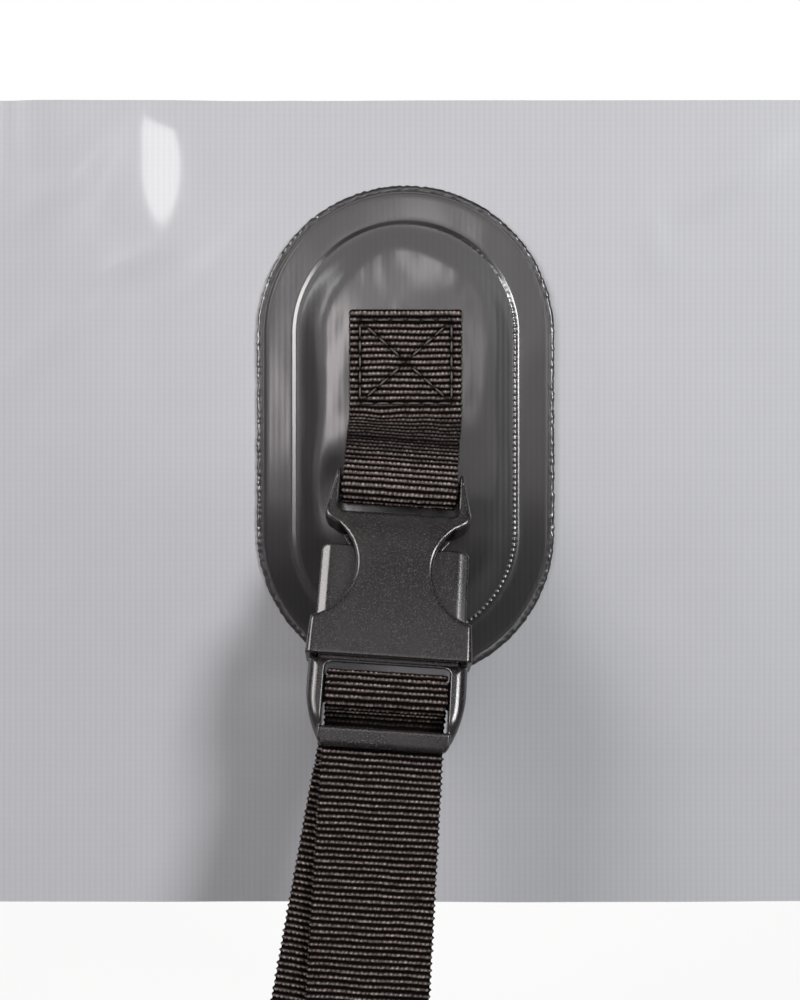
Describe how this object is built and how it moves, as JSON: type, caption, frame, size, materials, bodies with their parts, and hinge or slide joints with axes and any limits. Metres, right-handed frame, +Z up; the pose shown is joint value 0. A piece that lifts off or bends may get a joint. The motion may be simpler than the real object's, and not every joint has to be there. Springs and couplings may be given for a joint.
{
  "type": "strap anchor with side release buckle",
  "caption": "Oval welded patch with a sewn webbing loop, a side release buckle and an adjustable webbing strap, on a panel of coated-fabric bag wall.",
  "frame": {"origin": "on the back face of the wall panel, behind the centre of the oval patch", "axes": "+Z up along the patch's long axis, +Y into the bag behind the wall, +X to the right as seen from the front"},
  "size_m": [0.184, 0.037, 0.2143],
  "materials": {
    "wall_fabric": "soft gloss PVC coating over a fine woven scrim",
    "patch_fabric": "satin black PVC coating with a fine rib",
    "webbing": "ribbed polyester webbing",
    "thread": "bonded polyester thread",
    "buckle_plastic": "fine sand moulded acetal"
  },
  "bodies": {
    "wall": {"wall_panel": "wall_fabric", "anchor_patch": "patch_fabric", "backing_pad": "patch_fabric", "anchor_webbing": "webbing", "box_stitching": "thread"},
    "socket": {"buckle_socket": "buckle_plastic"},
    "plug": {"buckle_plug": "buckle_plastic", "strap_wrap": "webbing"},
    "left_arm": {"left_release_arm": "buckle_plastic"},
    "right_arm": {"right_release_arm": "buckle_plastic"},
    "load": {"load_strand": "webbing"},
    "tail": {"tail_strand": "webbing", "hem_stitching": "thread"}
  },
  "joints": [
    {"name": "buckle_swing", "type": "hinge", "parent": "wall", "child": "socket", "pos_m": [-0.0013, -0.0095, -0.0126], "axis": [-0.9978, 0, 0.0663], "range_deg": [-8, 120]},
    {"name": "buckle_release", "type": "slide", "parent": "socket", "child": "plug", "axis": [-0.0623, -0.342, -0.9376], "range_m": [0, 0.034], "deforming": ["left_release_arm", "right_release_arm"]},
    {"name": "left_arm_squeeze", "type": "hinge", "parent": "plug", "child": "left_arm", "pos_m": [-0.01579, -0.02168, -0.04516], "axis": [-0.0227, 0.9397, -0.3413], "range_deg": [0, 9], "stiffness_Nm_per_rad": 0.6},
    {"name": "right_arm_squeeze", "type": "hinge", "parent": "plug", "child": "right_arm", "pos_m": [0.00876, -0.02168, -0.04679], "axis": [0.0227, -0.9397, 0.3413], "range_deg": [0, 9], "stiffness_Nm_per_rad": 0.6},
    {"name": "load_swing", "type": "hinge", "parent": "plug", "child": "load", "pos_m": [-0.00616, -0.02556, -0.06764], "axis": [-0.9978, 0, 0.0663], "range_deg": [-15, 0]},
    {"name": "tail_lift", "type": "hinge", "parent": "plug", "child": "tail", "pos_m": [-0.0049, -0.02791, -0.06686], "axis": [-0.9978, 0, 0.0663], "range_deg": [0, 70]}
  ]
}
